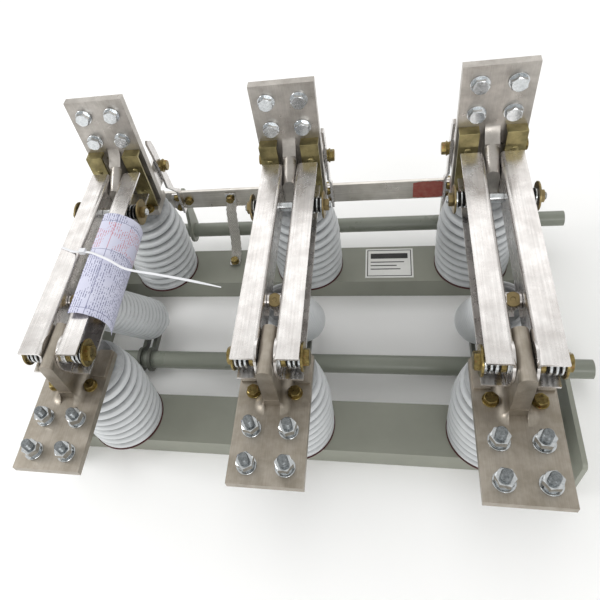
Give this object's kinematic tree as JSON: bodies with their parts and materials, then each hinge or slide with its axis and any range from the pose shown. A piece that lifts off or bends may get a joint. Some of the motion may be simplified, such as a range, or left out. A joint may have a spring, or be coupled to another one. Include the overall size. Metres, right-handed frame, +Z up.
{
  "type": "disconnect switch",
  "caption": "Three-pole indoor disconnect switch: paired channel blades on post insulators, a steel frame, an operating shaft and an earthing switch.",
  "frame": {"origin": "on the underside of the front channel's front flange, below the middle pole", "axes": "X along the shafts towards their free ends, Y from the front pads to the rear pads, Z up"},
  "size_m": [0.816, 0.585, 0.429],
  "materials": {
    "frame_paint": "satin",
    "shaft_paint": "satin",
    "tin_plate": "satin",
    "yellow_zinc": "satin",
    "dark_steel": "satin",
    "bright_steel": "satin",
    "insulator": "satin",
    "gasket": "matte",
    "label": "matte",
    "document_paper": "matte"
  },
  "bodies": {
    "frame": {"front_channel": "frame_paint", "rear_channel": "frame_paint", "side_plates": "frame_paint", "shaft_bushes": "frame_paint", "name_plate": "label", "posts_front": "insulator", "posts_rear": "insulator", "post_gaskets": "gasket", "front_terminal_left": "tin_plate", "front_terminal_middle": "tin_plate", "front_terminal_right": "tin_plate", "rear_terminal_left": "tin_plate", "rear_terminal_middle": "tin_plate", "rear_terminal_right": "tin_plate", "step_plates": "tin_plate", "rear_brackets": "yellow_zinc", "fixed_earth_contacts": "tin_plate", "earth_braid": "tin_plate"},
    "main_shaft": {"main_shaft": "shaft_paint", "crank_cheeks": "dark_steel", "crank_pins": "bright_steel"},
    "pull_left": {"pull_insulator_left": "insulator", "pull_eye_left": "bright_steel", "pull_clevis_left": "yellow_zinc"},
    "pull_middle": {"pull_insulator_middle": "insulator", "pull_eye_middle": "bright_steel", "pull_clevis_middle": "yellow_zinc"},
    "pull_right": {"pull_insulator_right": "insulator", "pull_eye_right": "bright_steel", "pull_clevis_right": "yellow_zinc"},
    "blade_left": {"blades_left": "tin_plate", "hinge_pack_left": "yellow_zinc", "contact_pack_left": "yellow_zinc", "document_roll": "document_paper"},
    "blade_middle": {"blades_middle": "tin_plate", "hinge_pack_middle": "yellow_zinc", "contact_pack_middle": "yellow_zinc"},
    "blade_right": {"blades_right": "tin_plate", "hinge_pack_right": "yellow_zinc", "contact_pack_right": "yellow_zinc"},
    "earth_switch": {"earth_shaft": "shaft_paint", "earth_arms": "shaft_paint", "earth_bar": "tin_plate", "earth_fingers": "tin_plate"}
  },
  "joints": [
    {"name": "main_shaft_turn", "type": "hinge", "parent": "frame", "child": "main_shaft", "pos_m": [0, 0.1515, 0.029], "axis": [1, 0, 0], "range_deg": [0, 58]},
    {"name": "pull_left_pivot", "type": "hinge", "parent": "main_shaft", "child": "pull_left", "pos_m": [-0.275, 0.2325, 0.029], "axis": [1, 0, 0], "range_deg": [-58, 0]},
    {"name": "pull_middle_pivot", "type": "hinge", "parent": "main_shaft", "child": "pull_middle", "pos_m": [0, 0.2325, 0.029], "axis": [1, 0, 0], "range_deg": [-58, 0]},
    {"name": "pull_right_pivot", "type": "hinge", "parent": "main_shaft", "child": "pull_right", "pos_m": [0.275, 0.2325, 0.029], "axis": [1, 0, 0], "range_deg": [-58, 0]},
    {"name": "blade_left_swing", "type": "hinge", "parent": "frame", "child": "blade_left", "pos_m": [-0.275, 0.0075, 0.288], "axis": [1, 0, 0], "range_deg": [0, 58]},
    {"name": "blade_middle_swing", "type": "hinge", "parent": "frame", "child": "blade_middle", "pos_m": [0, 0.0075, 0.288], "axis": [1, 0, 0], "range_deg": [0, 58]},
    {"name": "blade_right_swing", "type": "hinge", "parent": "frame", "child": "blade_right", "pos_m": [0.275, 0.0075, 0.288], "axis": [1, 0, 0], "range_deg": [0, 58]},
    {"name": "earth_shaft_turn", "type": "hinge", "parent": "frame", "child": "earth_switch", "pos_m": [0, 0.4295, 0.061], "axis": [1, 0, 0], "range_deg": [-70, 0]}
  ],
  "couplings": [
    {"joint": "pull_left_pivot", "follows": "main_shaft_turn", "ratio": -1},
    {"joint": "pull_middle_pivot", "follows": "main_shaft_turn", "ratio": -1},
    {"joint": "pull_right_pivot", "follows": "main_shaft_turn", "ratio": -1},
    {"joint": "blade_left_swing", "follows": "main_shaft_turn", "ratio": 1},
    {"joint": "blade_middle_swing", "follows": "main_shaft_turn", "ratio": 1},
    {"joint": "blade_right_swing", "follows": "main_shaft_turn", "ratio": 1}
  ]
}
